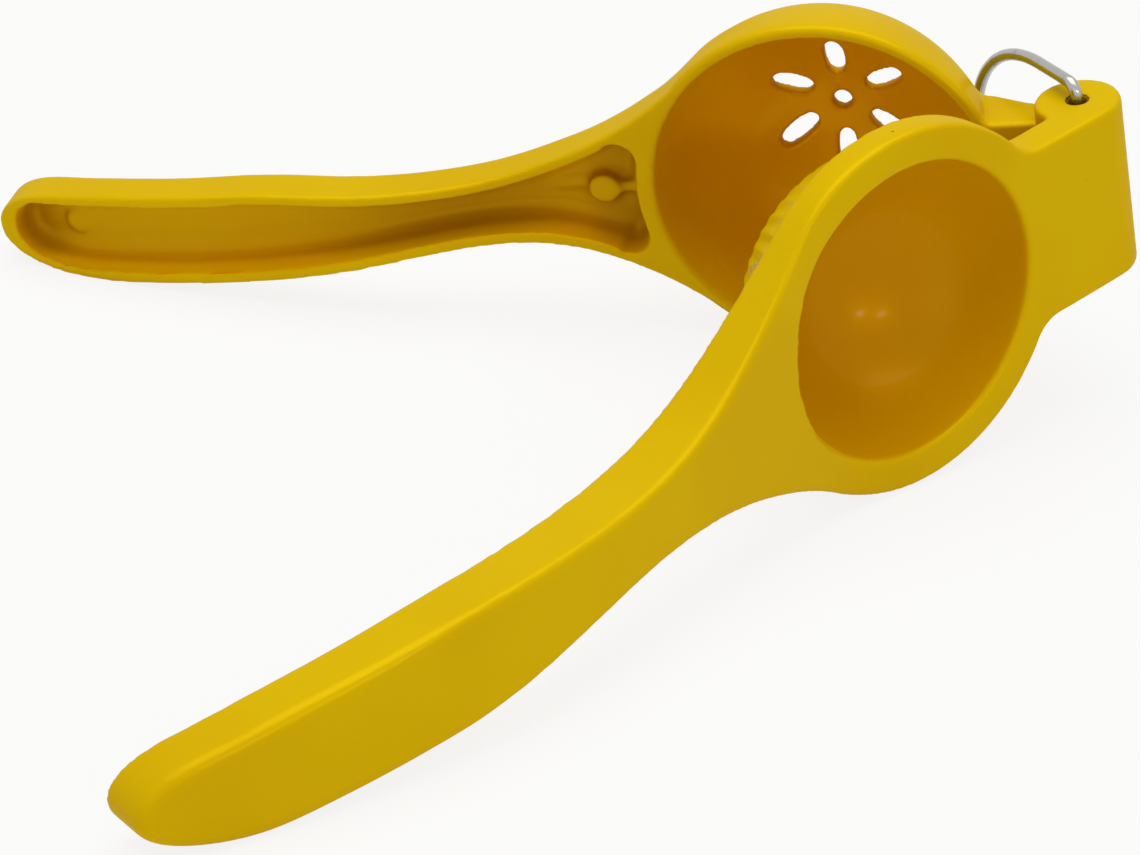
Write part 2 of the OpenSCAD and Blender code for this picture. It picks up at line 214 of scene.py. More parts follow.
def slab(outline, rings, lowAt, highAt, insetAt, depth, half, endRim=0, slices=90):
    # A plate that follows half an outline and its mirror image. Each ring is a height in the
    # plate and how far the outline is drawn in there. It is made flat, sliced, then bent, and
    # the half's own drift and extra length are added.
    points = outline + [(u, -z) for u, z in reversed(outline) if z > 1e-6]
    s = squeezer
    count = len(points)
    nose = s["reach"] - s["noseLength"]
    width = next(z for u, z in outline if u > nose)
    length = s["noseLength"] - endRim
    slopes = []
    for i, (u, z) in enumerate(points):
        before = points[i - 1]
        after = points[(i + 1) % count]
        if outline[0][1] > 1e-6:
            before = points[i] if i == 0 else before
            after = points[i] if i == count - 1 else after
        slopes.append((after[0] - before[0], after[1] - before[1]))
    bm = bmesh.new()
    loop = [bm.verts.new((u, 0, z)) for u, z in points]
    bm.faces.new(loop)
    edges = bm.edges[:]
    order = list(loop)
    for level, (height, inset) in enumerate(rings):
        if level:
            made = bmesh.ops.extrude_edge_only(bm, edges=edges)["geom"]
            edges = [e for e in made if isinstance(e, bmesh.types.BMEdge) and e.is_boundary]
            fresh = {v for v in made if isinstance(v, bmesh.types.BMVert)}
            across = [[e.other_vert(v) for e in v.link_edges] for v in order]
            order = [next(v for v in others if v in fresh) for others in across]
        for v, (u, z), slope in zip(order, points, slopes):
            amount = inset * insetAt(u)
            x, aside = drawIn(u, z, slope, amount, amount, width, length)
            v.co = (x, height, aside)
    bmesh.ops.edgeloop_fill(bm, edges=edges)
    start = min(u for u, z in outline)
    end = max(u for u, z in outline)
    for i in range(1, slices):
        bmesh.ops.bisect_plane(bm, geom=bm.verts[:] + bm.edges[:] + bm.faces[:], dist=1e-4,
                               plane_co=(start + (end - start) * i / slices, 0, 0), plane_no=(1, 0, 0))
    for v in bm.verts:
        u, y = v.co.x, v.co.y
        v.co.y = lowAt(u) + y if y < depth / 2 else highAt(u) - (depth - y)
        v.co.z += drift(u, half)
        v.co.x += half["longer"] * smoothStep((u - s["longerFrom"]) / s["longerLength"])
    return bm


def roundedRings(depth, inner, draft, outer, steps=6):
    # heights and insets of a plate with a rounded inner edge, leaning walls and a rounded outer edge
    quarter = [math.pi / 2 * i / steps for i in range(steps + 1)]
    low = [(inner * (1 - math.sin(a)), inner * (1 - math.cos(a))) for a in reversed(quarter)]
    high = [(depth - outer + outer * math.sin(a), draft + outer * (1 - math.cos(a))) for a in quarter]
    return low + high


def flaredRings(depth, mouth, flare, draft, outer, steps=6):
    # the same for a cutter, which opens out to a soft edge where it leaves the casting
    quarter = [math.pi / 2 * i / steps for i in range(steps + 1)]
    low = [(mouth + flare * (1 - math.sin(a)), -flare * (1 - math.cos(a))) for a in reversed(quarter)]
    high = [(depth - outer + outer * math.sin(a), draft + outer * (1 - math.cos(a))) for a in quarter]
    return [(0, -flare)] + low + high


def flaredMouth(radius, flare, height, into):
    # radius and height pairs of a round hollow's soft edge; into is 1 or -1, the way into the casting
    return [(radius + flare * (1 - math.cos(a)), height + into * flare * (1 - math.sin(a)))
            for a in (math.pi / 12 * i for i in range(7))]


def drum(radius, low, high, bevelSize=0, segments=96):
    # a round bar along the hinge axis
    bm = bmesh.new()
    bmesh.ops.create_cone(bm, cap_ends=True, segments=segments, radius1=radius, radius2=radius,
                          depth=high - low)
    bmesh.ops.translate(bm, verts=bm.verts, vec=(0, 0, (low + high) / 2))
    if bevelSize:
        rim = [e for e in bm.edges if abs(e.verts[0].co.z - e.verts[1].co.z) < 1e-6]
        bmesh.ops.bevel(bm, geom=rim, offset=bevelSize, segments=6, profile=0.5, affect="EDGES", material=-1)
    return bm


def post(radius, low, high, at, stretch=1, turn=0, fullness=1):
    # a round or oval post that stands along y; a fullness below 1 squares its ends
    bm = bmesh.new()
    bmesh.ops.create_cone(bm, cap_ends=True, segments=64, radius1=radius, radius2=radius,
                          depth=high - low)
    for v in bm.verts:
        size = v.co.xy.length
        if size > 1e-6 and fullness < 1:
            v.co.x, v.co.y = (math.copysign(abs(c / size) ** fullness, c) * size for c in v.co.xy)
    bmesh.ops.scale(bm, verts=bm.verts, vec=(stretch, 1, 1))
    stand = Matrix.Translation((at[0], (low + high) / 2, at[1])) @ Matrix.Rotation(turn, 4, "Y")
    bm.transform(stand @ Matrix.Rotation(math.radians(90), 4, "X"))
    return bm


def brick(low, high):
    bm = bmesh.new()
    bmesh.ops.create_cube(bm, size=1)
    size = [b - a for a, b in zip(low, high)]
    bmesh.ops.scale(bm, verts=bm.verts, vec=size)
    bmesh.ops.translate(bm, verts=bm.verts, vec=[(a + b) / 2 for a, b in zip(low, high)])
    return bm


def turned(profile, steps=192):
    # a shape spun round the bowls' common axis, from radius and height pairs
    bm = bmesh.new()
    line = [bm.verts.new((squeezer["bowlAt"] + r, y, 0)) for r, y in profile]
    for a, b in zip(line, line[1:]):
        bm.edges.new((a, b))
    bmesh.ops.spin(bm, geom=bm.verts[:] + bm.edges[:], cent=(squeezer["bowlAt"], 0, 0), axis=(0, 1, 0),
                   angle=math.radians(360), steps=steps, use_merge=True)
    bmesh.ops.remove_doubles(bm, verts=bm.verts, dist=1e-4)
    bmesh.ops.dissolve_degenerate(bm, edges=bm.edges, dist=1e-5)
    return bm


def arcOf(radius, depth, middle, start, end, steps):
    # points of an upright ellipse, by angle below the rim
    angles = [math.radians(start + (end - start) * i / steps) for i in range(steps + 1)]
    return [(radius * math.cos(a), middle + depth * math.sin(a)) for a in angles]


def leaning(bm):
    # the cup leans towards its handle, more the deeper it gets
    lean = cupHalf["lean"] / cupHalf["depth"]
    bm.transform(Matrix(((1, lean, 0, 0), (0, 1, 0, 0), (0, 0, 1, 0), (0, 0, 0, 1))))
    return bm


def channelOutline(power):
    # the handle's outline drawn in by its rim, ended by a curve around the bowl with round corners
    s = squeezer
    rim, endR, cornerR, bowl = s["handleRim"], s["channelEndR"], s["channelCornerR"], s["bowlAt"]
    cornerIn = cornerR * 1.03      # from the side wall to the middle of the round corner
    nearby = 0.2                   # half the stretch over which the outline's slope is taken

    def widthAt(u):
        return halfWidth(u, power)

    def sideAt(u):
        return widthAt(u) - rim

    u = bowl + endR + cornerR + 5
    while math.hypot(u - bowl, sideAt(u) - cornerIn) > endR + cornerR:
        u -= 0.02                  # towards the bowl until the corner touches the curve around it
    middle = Vector((u, sideAt(u) - cornerIn))
    outward = (middle - Vector((bowl, 0))).normalized()
    slope = sideAt(u + 1) - sideAt(u)
    wall = Vector((-slope, 1)).normalized()
    turn = math.atan2(outward.y, outward.x)
    points = [(bowl + endR * math.cos(turn * i / 8), endR * math.sin(turn * i / 8)) for i in range(8)]
    first = math.atan2(-outward.y, -outward.x) % math.tau
    last = math.atan2(wall.y, wall.x)
    for i in range(9):
        a = first + (last - first) * i / 8
        points.append((middle.x + cornerR * math.cos(a), middle.y + cornerR * math.sin(a)))
    width = widthAt(s["reach"] - s["noseLength"])
    for far in stations(points[-1][0] + 1.5, s["reach"], 60):
        before, after = widthAt(far - nearby), widthAt(min(far + nearby, s["reach"]))
        bend = (2 * nearby, after - before)
        points.append(drawIn(far, widthAt(far), bend, rim, s["endRim"], width, s["noseLength"]))
    points[-1] = (points[-1][0], 0)
    return points


def channelCutter(lowAt, highAt, half):
    s = squeezer
    deepest = s["channelDraft"] + s["channelFillet"]

    def room(u):
        # the walls lean less where the channel is narrow and in its corners at the bowl
        return min(between(u, *s["leanAtBowl"]), s["leanRoom"] * (halfWidth(u) - s["handleRim"]) / deepest)

    mouth = s["cutterAbove"] - s["flareBite"] * s["rimFlare"]
    rings = flaredRings(s["cutterDepth"], mouth, s["rimFlare"], s["channelDraft"], s["channelFillet"], 8)
    return slab(channelOutline(half["channelPower"]), rings, lambda u: lowAt(u) - s["cutterAbove"],
                lambda u: highAt(u) - s["handleFloor"], room, s["cutterDepth"], half, s["endRim"])


def castSkin(piece, side, creaseAt=None):
    # Rounds edges and corners the way enamel over a sand casting does, then puts the half in its place.
    # creaseAt tells from 0 to 1 where the casting has wide fillets, if it has any.
    s = squeezer
    faint = 0.02           # weights below this are left out
    skin = piece.modifiers.new("skin", "REMESH")
    skin.mode = "VOXEL"
    skin.voxel_size = s["skin"]
    relax = piece.modifiers.new("relax", "SMOOTH")
    relax.factor = 0.5
    relax.iterations = s["softening"]
    applyModifiers(piece)
    if creaseAt:
        group = piece.vertex_groups.new(name="fillets")
        for v in piece.data.vertices:
            weight = creaseAt(*v.co)
            if weight > faint:
                group.add([v.index], weight, "REPLACE")
        fillet = piece.modifiers.new("fillet", "SMOOTH")
        fillet.factor = 0.5
        fillet.iterations = s["filletPasses"]
        fillet.vertex_group = group.name
        applyModifiers(piece)
        piece.vertex_groups.clear()
    piece.data.transform(placeHalf(side))
    if side < 0:
        piece.data.flip_normals()
    piece.data.shade_smooth()
    print(piece.name, sum(len(f.vertices) - 2 for f in piece.data.polygons), "triangles")


pressHalf = {
    "faceHeight": 7.5,
    "flangeGap": 1.0,
    "blockGap": 0.3,
    "blockHalf": 17.6,
    "blockFilletR": 7.0,
    "blockBevel": 0.9,
    "noseDrift": 2.0,      # how far the handle's end swings to one side
    "sway": 0.7,           # how far the neck lies to the other
    "sag": 0.2,            # and the handle's middle
    "longer": 0.7,
    "channelPower": 5,     # higher ends the channel more bluntly
    "gapStep": (18, 24),   # where the block's gap turns into the flange's
    "innerRise": 15.6,
    "innerFrom": 75.3,
    "innerTo": 166,
    "outerRise": 20.5,
    "neckFrom": 68,
    "neckTo": 172,
    "neckPower": 1.25,
    "domeR": 31.4,
    "domeAt": 8.0,
    "hollowR": 28.0,
    "scallops": 48,
    "scallopDepth": 1.2,
    "scallopsFrom": 14,    # distance from the dome's middle
    "scallopsFade": 10,
    "domeFoot": 2,
    "mouthFlare": 0.8,
    "hollowTop": 40,
    "earT": 4.3,
    "pocketR": 5.6,
    "slotFrom": 9,
    "slotEnd": 13.5,
    "edgeInner": 0.9,
    "edgeOuter": 2.0,
    "edgeShare": ((75, 140, 0.42, 0.6), (150, 195, 0, 0.4)),     # from, to, first, last; added up
    "draft": 0.0,
    "blockProud": 0.45,    # the block's outer face stands this far out at the hinge
    "proudLength": 25,
    "webFullness": 0.5,    # the flange runs into the handle with a fuller curve
    "webAt": 86,
    "webLength": 12,
    "paintedHollowShade": (0.70, 0.29, 0.0003, 1),      # painted shade in the hollows: a deeper orange where much of the casting stands near
    # places with their sizes
    "chips": [((47.1, 4.7, 34.6), 0.25), ((7, 7.7, 6.3), 0.22), ((221, 18, -3), 1.0)],
    # pale patches on the dome's scallops: painted highlight standing in for the sky's reflection on the rib
    # crests, with worn paint
    "wearAndHighlightAt": [((72.2, -7.8, 15.4), 2.2), ((71, -13.3, 8.6), 2.0), ((70.5, -15, 4), 1.6)],
}


def pressHalfWidth(u):
    p = pressHalf
    fillet = p["blockFilletR"]
    reachOut = squeezer["flangeR"] + fillet
    start = squeezer["bowlAt"] - math.sqrt(reachOut ** 2 - (p["blockHalf"] + fillet) ** 2)
    end = squeezer["bowlAt"] - (squeezer["bowlAt"] - start) * squeezer["flangeR"] / reachOut
    if u < start:
        return p["blockHalf"]
    if u < end:
        return p["blockHalf"] + fillet - math.sqrt(fillet ** 2 - (u - start) ** 2)
    return halfWidth(u) + p["webFullness"] * math.exp(-((u - p["webAt"]) / p["webLength"]) ** 2)


def pressLow(u):
    p = pressHalf
    rise = p["innerRise"] * smoothStep((u - p["innerFrom"]) / (p["innerTo"] - p["innerFrom"]))
    return between(u, *p["gapStep"], p["blockGap"], p["flangeGap"]) + rise - curl(u)


def pressHigh(u):
    p = pressHalf
    t = min(max((u - p["neckFrom"]) / (p["neckTo"] - p["neckFrom"]), 0), 1)
    proud = p["blockProud"] * (1 - smoothStep(u / p["proudLength"]))
    rise = p["outerRise"] * math.sin(math.pi / 2 * t) ** p["neckPower"]
    return p["faceHeight"] + proud + rise - curl(u) - thinned(u)


def makePress():
    s, p = squeezer, pressHalf
    depth = s["handleDepth"]
    # the outline has points every 2 mm on the block and every 0.8 mm in the fillets beside it
    onBlock = [2.0 * i for i in range(8)]
    inFillets = [15 + 0.8 * i for i in range(12)]
    onHandle = stations(25, s["reach"], 110)
    outline = [(u, pressHalfWidth(u)) for u in onBlock + inFillets + onHandle]
    rings = roundedRings(depth, p["edgeInner"], p["draft"], p["edgeOuter"])
    bm = slab(outline, rings, pressLow, pressHigh, lambda u: edgeShare(u, p), depth, p)
    for v in bm.verts:                       # the outer edge is tighter on the flange than on the handle
        top = pressHigh(v.co.x)
        if v.co.y > (top + pressLow(v.co.x)) / 2:
            v.co.y = top - (top - v.co.y) * edgeShare(v.co.x, p)
    press = newPiece("press_casting", bm)

    bm = drum(p["faceHeight"] + p["blockProud"], -p["blockHalf"], p["blockHalf"], bevelSize=p["blockBevel"])
    combine(press, bm, "UNION")

    foot = p["domeFoot"]
    outer = [(r, p["domeAt"] - y) for r, y in arcOf(p["domeR"], p["domeR"], 0, 90, 0, 40)]
    sunk = [(p["domeR"] - 1, foot + 1), (0, foot + 1)]
    bm = turned([(r, y) for r, y in outer if y < foot] + sunk, steps=384)
    for v in bm.verts:                       # shallow scallops run down the dome from its foot
        out = Vector((v.co.x - s["bowlAt"], v.co.z))
        if out.length > 1 and v.co.y < foot + 0.5:
            wave = abs(math.sin(math.atan2(out.y, out.x) * p["scallops"] / 2)) - 1
            fade = smoothStep((out.length - p["scallopsFrom"]) / p["scallopsFade"])
            push = 1 + wave * fade * p["scallopDepth"] / p["domeR"]
            v.co.x = s["bowlAt"] + out.x * push
            v.co.z = out.y * push
    combine(press, bm, "UNION")

    inner = arcOf(p["hollowR"], p["hollowR"], 0, 90, 3, 40)
    mouth = flaredMouth(p["hollowR"], p["mouthFlare"], p["faceHeight"], -1)
    above = [(p["hollowR"] + p["mouthFlare"], p["hollowTop"]), (0, p["hollowTop"])]
    bm = turned([(r, p["domeAt"] - y) for r, y in inner] + mouth + above)
    combine(press, bm, "DIFFERENCE")

    combine(press, channelCutter(pressLow, pressHigh, p), "DIFFERENCE")

    ear = p["blockHalf"] - p["earT"]
    combine(press, drum(p["pocketR"], -ear, ear), "DIFFERENCE")
    slot = (-p["slotFrom"], -p["slotFrom"], -ear), (p["slotEnd"], p["blockGap"], ear)
    combine(press, brick(*slot), "DIFFERENCE")
    combine(press, drum(s["boreR"], -s["boreReach"], s["boreReach"], segments=48), "DIFFERENCE")
    castSkin(press, 1)
    return press


cupHalf = {
    "rimR": 35.2,
    "depth": 39.5,
    "noseDrift": 1.5,
    "sway": 0,
    "sag": 0.45,
    "longer": -0.9,
    "nosePower": 6,        # this handle ends more bluntly than the other
    "channelPower": 9,
    "lean": 2.2,           # how far the bottom leans towards the handle
    "slimness": 1.03,      # above 1 the bowl's back is slimmer than an ellipse
    "cavityR": 32.7,
    "cavityDepth": 36.5,
    "drop": 8.7,
    "dropFrom": 98.3,
    "dropTo": 150,
    "rimEdge": ((0, 0.9), (0.25, 0.3), (0.8, 0)),      # steps inwards and heights of the rim's edge
    "mouthFlare": 0.7,
    "hollowTop": -20,
    "edgeInner": 0.5,
    "edgeOuter": 2.6,
    "edgeShare": ((85, 120, 0.45, 1), (198, 212, 0, -0.4)),
    "draft": 0.1,
    "petals": 6,
    "petalAt": 10.6,
    "petalLength": 8.6,
    "petalWidth": 3.8,
    "petalFullness": 0.82,
    "centreR": 1.9,
    "drains": (20, 45),    # heights between which the drain holes are cut
    "bossR": 3.2,
    "bossAt": 94.5,
    "bossTop": 5.3,
    "bossDrop": 0.4,
    "ribTop": 5.9,
    "ribHalf": 1.2,
    "ridgeLength": 14,     # the low ridge beyond the boss
    "ridgeHeight": 0.6,
    "ridgeSides": (-0.6, 1.6),
    "padAt": 205,
    "padR": 2.6,
    "padHeight": 0.4,
    "sunk": 1,             # how deep what stands on the floor reaches into it
    "tongueHalf": 13.0,
    "knuckleR": 5.3,
    "knuckleBevel": 0.6,
    "tongueT": 7.9,
    "tongueFlat": 2.7,
    "tongueCorner": 6.2,
    "rootT": 14,
    "rootAt": 21.8,
    # painted shade in the hollows: a deeper orange where much of the casting stands near
    "paintedHollowShade": (1.0, 0.48, 0.0003, 1),
    "chips": [],
    # places of the pale patches of painted highlight and worn paint; none on this half
    "wearAndHighlightAt": [],
}


def cupLow(u):
    c = cupHalf
    return -c["drop"] * smoothStep((u - c["dropFrom"]) / (c["dropTo"] - c["dropFrom"])) + curl(u)


def cupHigh(u):
    return cupLow(u) + squeezer["handleDepth"] - thinned(u)


# Where the wide fillets set in, each as the place of none and the place of all, in the half's own frame.
cupFillets = {
    "back": (8.3, 10.8),
    "flanks": (17, 21),
    "belowRim": (1.5, 4.5),
    "handleFromBowl": (70, 77),
    "handleFromEnd": (104, 94),
    "tongueFromHinge": (17, 21),
    "tongueFromBowl": (29, 23),
    "tongueBack": (6, 10),
    "tongueShare": 0.5,
}


def cupCrease(u, v, z):
    # from 0 to 1, where the handle and the tongue run into the bowl
    f = cupFillets

    def sets(value, name):
        return between(value, *f[name], 0, 1)

    onBack = max(sets(v, "back"), sets(abs(z), "flanks") * sets(v, "belowRim"))
    atHandle = sets(u, "handleFromBowl") * sets(u, "handleFromEnd") * onBack
    atTongue = sets(u, "tongueFromHinge") * sets(u, "tongueFromBowl") * sets(v, "tongueBack")
    return max(atHandle, atTongue * f["tongueShare"])


def makeCup():
    s, c = squeezer, cupHalf
    depth = s["handleDepth"]
    slim = c["slimness"]
    angles = [math.radians(90 - 87 * i / 48) for i in range(1, 49)]     # up to 3 degrees below the rim
    back = [(c["rimR"] * math.cos(a) ** slim, c["depth"] * math.sin(a) ** slim) for a in angles]
    edge = [(c["rimR"] - inwards, height) for inwards, height in c["rimEdge"]]
    cup = newPiece("cup_casting", leaning(turned([(0, c["depth"])] + back + edge + [(0, 0)])))

    outline = [(u, halfWidth(u, c["nosePower"])) for u in stations(60, s["reach"], 110)]
    rings = roundedRings(depth, c["edgeInner"], c["draft"], c["edgeOuter"])
    bm = slab(outline, rings, cupLow, cupHigh, lambda u: edgeShare(u, c), depth, c)
    combine(cup, bm, "UNION")

    wide = c["tongueHalf"]
    combine(cup, drum(c["knuckleR"], -wide, wide, bevelSize=c["knuckleBevel"]), "UNION")
    corner = c["tongueCorner"]
    side = [(0, 0), (c["rootAt"], 0), (c["rootAt"], c["rootT"])]
    side += [(corner + c["tongueFlat"], c["tongueT"]), (corner, c["tongueT"])]
    bm = bmesh.new()
    wall = bm.faces.new([bm.verts.new((u, y, -wide)) for u, y in side])
    made = bmesh.ops.extrude_face_region(bm, geom=[wall])["geom"]
    far = [v for v in made if isinstance(v, bmesh.types.BMVert)]
    bmesh.ops.translate(bm, verts=far, vec=(0, 0, 2 * wide))
    combine(cup, bm, "UNION")

    mouth = flaredMouth(c["cavityR"], c["mouthFlare"], 0, 1)
    above = [(c["cavityR"] + c["mouthFlare"], c["hollowTop"]), (0, c["hollowTop"])]
    hollow = [(0, c["cavityDepth"])] + arcOf(c["cavityR"], c["cavityDepth"], 0, 88, 2, 48) + mouth + above
    combine(cup, leaning(turned(hollow)), "DIFFERENCE")

    combine(cup, channelCutter(cupLow, cupHigh, c), "DIFFERENCE")

    combine(cup, leaning(post(c["centreR"], *c["drains"], (s["bowlAt"], 0))), "DIFFERENCE")
    for i in range(c["petals"]):
        a = math.radians(30 + 360 / c["petals"] * i)
        at = (s["bowlAt"] + c["petalAt"] * math.cos(a), c["petalAt"] * math.sin(a))
        stretch = c["petalLength"] / c["petalWidth"]
        petal = post(c["petalWidth"] / 2, *c["drains"], at, stretch, -a, c["petalFullness"])
        combine(cup, leaning(petal), "DIFFERENCE")

    floor = depth - s["handleFloor"]
    bottom = floor + c["sunk"]
    low = c["bossDrop"]
    wallAt = s["bowlAt"] + s["channelEndR"] - c["sunk"]
    combine(cup, post(c["bossR"], c["bossTop"], bottom, (c["bossAt"], -low)), "UNION")
    rib = (wallAt, c["ribTop"], -low - c["ribHalf"]), (c["bossAt"], bottom, c["ribHalf"] - low)
    combine(cup, brick(*rib), "UNION")
    start, end = c["ridgeSides"]
    ridge = (c["bossAt"], floor - c["ridgeHeight"], start), (c["bossAt"] + c["ridgeLength"], bottom, end)
    combine(cup, brick(*ridge), "UNION")
    at = (c["padAt"], drift(c["padAt"], c))
    outside = cupHigh(c["padAt"])
    pad = post(c["padR"], outside - s["handleFloor"] - c["padHeight"], outside - c["sunk"], at)
    combine(cup, pad, "UNION")
    combine(cup, drum(s["boreR"], -s["boreReach"], s["boreReach"], segments=48), "DIFFERENCE")
    castSkin(cup, -1, cupCrease)
    return cup


wireRing = {
    "wireR": 1.15,
    "endGap": 1.0,
    "bendAt": 17.9,
    "bendR": 2.5,
    "legEnd": 12,
    "sideR": 26.5,
    "tipR": 12,
    "bendSteps": 24,
    "sideSteps": 48,
    "tipSteps": 24,
    "lean": 50.38,         # degrees from the cup's parting plane
}


def makeRing():
    w = wireRing
    legZ = w["bendAt"] + w["bendR"]
    sideZ = legZ - w["sideR"]
    tipX = w["legEnd"] + math.sqrt((w["sideR"] - w["tipR"]) ** 2 - sideZ ** 2)
    joinAngle = math.atan2(-sideZ, tipX - w["legEnd"])
    bm = bmesh.new()
    bmesh.ops.create_circle(bm, cap_ends=False, radius=w["wireR"], segments=32)
    bmesh.ops.translate(bm, verts=bm.verts, vec=(0, 0, w["endGap"] / 2))
    end = bm.edges[:]

    def straight(edges, step):
        made = bmesh.ops.extrude_edge_only(bm, edges=edges)["geom"]
        bmesh.ops.translate(bm, verts=[v for v in made if isinstance(v, bmesh.types.BMVert)], vec=step)
        return [e for e in made if isinstance(e, bmesh.types.BMEdge) and e.is_boundary]

    def bend(edges, centre, angle, steps):
        geom = edges + list({v for e in edges for v in e.verts})
        made = bmesh.ops.spin(bm, geom=geom, cent=centre, axis=(0, 1, 0), angle=angle, steps=steps,
                              use_merge=False)
        return [e for e in made["geom_last"] if isinstance(e, bmesh.types.BMEdge)]

    end = straight(end, (0, 0, w["bendAt"] - w["endGap"] / 2))
    end = bend(end, (w["bendR"], 0, w["bendAt"]), math.radians(90), w["bendSteps"])
    end = straight(end, (w["legEnd"] - w["bendR"], 0, 0))
    end = bend(end, (w["legEnd"], 0, sideZ), math.radians(90) - joinAngle, w["sideSteps"])
    end = bend(end, (tipX, 0, 0), joinAngle, w["tipSteps"])
    for v in {v for e in end for v in e.verts}:
        v.co.z = 0
    whole = bm.verts[:] + bm.edges[:] + bm.faces[:]
    bmesh.ops.mirror(bm, geom=whole, matrix=Matrix(), merge_dist=1e-3, axis="Z")
    bmesh.ops.remove_doubles(bm, verts=bm.verts, dist=1e-4)
    bmesh.ops.holes_fill(bm, edges=[e for e in bm.edges if e.is_boundary], sides=0)
    bm.transform(placeHalf(-1) @ Matrix.Rotation(math.radians(w["lean"]), 4, "Z"))
    ring = newPiece("ring_wire", bm)
    ring.data.shade_smooth()
    print(ring.name, sum(len(f.vertices) - 2 for f in ring.data.polygons), "triangles")
    return ring


class Signal:
    # A node's output that can be used in sums.
    def __init__(self, tree, socket):
        self.tree = tree
        self.socket = socket

    def make(self, kind, settings, inputs, output=0):
        node = self.tree.nodes.new(kind)
        for name, setting in settings.items():
            setattr(node, name, setting)
        for key, value in inputs.items():
            if isinstance(value, Signal):
                self.tree.links.new(value.socket, node.inputs[key])
            else:
                node.inputs[key].default_value = value
        return Signal(self.tree, node.outputs[output])

    def sum(self, operation, first, second):
        return self.make("ShaderNodeMath", {"operation": operation}, {0: first, 1: second})

    def __add__(self, other):
        return self.sum("ADD", self, other)

    def __sub__(self, other):
        return self.sum("SUBTRACT", self, other)

    def __mul__(self, other):
        return self.sum("MULTIPLY", self, other)

    def __radd__(self, other):
        return self.sum("ADD", other, self)

    def __rsub__(self, other):
        return self.sum("SUBTRACT", other, self)

    def __rmul__(self, other):
        return self.sum("MULTIPLY", other, self)

    def noise(self, scale, detail=3, roughness=0.5):
        values = {"Vector": self, "Scale": scale, "Detail": detail, "Roughness": roughness}
        return self.make("ShaderNodeTexNoise", {}, values)

    def spread(self, low, high, first=0, last=1):
        values = {"Value": self, "From Min": low, "From Max": high, "To Min": first, "To Max": last}
        return self.make("ShaderNodeMapRange", {"interpolation_type": "SMOOTHSTEP"}, values)

    def near(self, at, size, ragged=0):
        # 1 at a place and around it, fading out at a distance of size; noise makes its edge ragged
        away = self.make("ShaderNodeVectorMath", {"operation": "DISTANCE"}, {0: self, 1: at}, 1)
        if ragged:
            away = away + (self.noise(2.2 / size, 3) - 0.5) * size * ragged
        return away.spread(size, size * 0.6)

    def openness(self, distance):
        # 1 on open surfaces, less the more of the casting itself stands within a distance
        settings = {"samples": 6, "only_local": True}
        return self.make("ShaderNodeAmbientOcclusion", settings, {"Distance": distance}, 1)

    def parts(self):
        node = self.make("ShaderNodeSeparateXYZ", {}, {"Vector": self}).socket.node
        return [Signal(self.tree, out) for out in node.outputs]

    def mix(self, first, second):
        return self.make("ShaderNodeMix", {"data_type": "RGBA"}, {0: self, 6: first, 7: second}, 2)


def newMaterial(name, values):
    material = bpy.data.materials.new(name)
    material.use_nodes = True
    shader = material.node_tree.nodes["Principled BSDF"]
    for key, value in values.items():
        shader.inputs[key].default_value = value
    coords = material.node_tree.nodes.new("ShaderNodeTexCoord")
    return material, shader, Signal(material.node_tree, coords.outputs["Object"])


def feed(shader, name, signal):
    signal.tree.links.new(signal.socket, shader.inputs[name])


enamel = {
    "yellow": (0.81, 0.525, 0.0004, 1),
    "warmer": (0.78, 0.485, 0.0004, 1),
    "toneScale": 28,
    "toneShare": (0.35, 0.7),
    "corner": (0.52, 0.26, 0.0003, 1),       # painted shade, darkest, in tight corners and creases
    # pale grey of the dome's patches: painted highlight with worn paint
    "wearAndHighlight": (0.42, 0.37, 0.16, 1),
    # near black: real chips in the paint, and painted shade at the bore's mouth round the wire
    "chipsAndBoreShade": (0.03, 0.022, 0.008, 1),
    "hollowReach": 0.045,                   # how near other surfaces must stand for the painted hollow shade
    "hollowShare": (0.4, 0.85),
    # how near other surfaces must stand for the painted corner shade
    "cornerReach": 0.012,
    "cornerShare": (0.45, 0.97),
    "wearAndHighlightRagged": 1.2,
    "wearAndHighlightScale": 1.1,
    "wearAndHighlightShare": (0.4, 0.6),
    "chipRagged": 0.9,
    "boreEdge": (2.75, 2.5),                # near black round the bore, by radius: painted shade at the bore's mouth, with chipped paint
    "boreRagged": 0.9,
    "boreScale": 1.6,
    "earFace": (294, 300),                  # squared height of the ears' outer faces
    "roughness": 0.30,
    "smoother": 0.02,
    "rougher": 0.03,
    "smearScale": 45,
    "smearShare": (0.3, 0.7),
    "bareRoughness": 0.3,
    "sheen": 0.1,                           # share of its gloss that takes the enamel's colour
    "coat": 0.045,
    "coatRoughness": 0.06,
    "rippleScale": 420,
    "ripple": 0.7,
    "bareDepth": 0.6,
    "bump": 0.12,
    "bumpHeight": 0.0004,
}


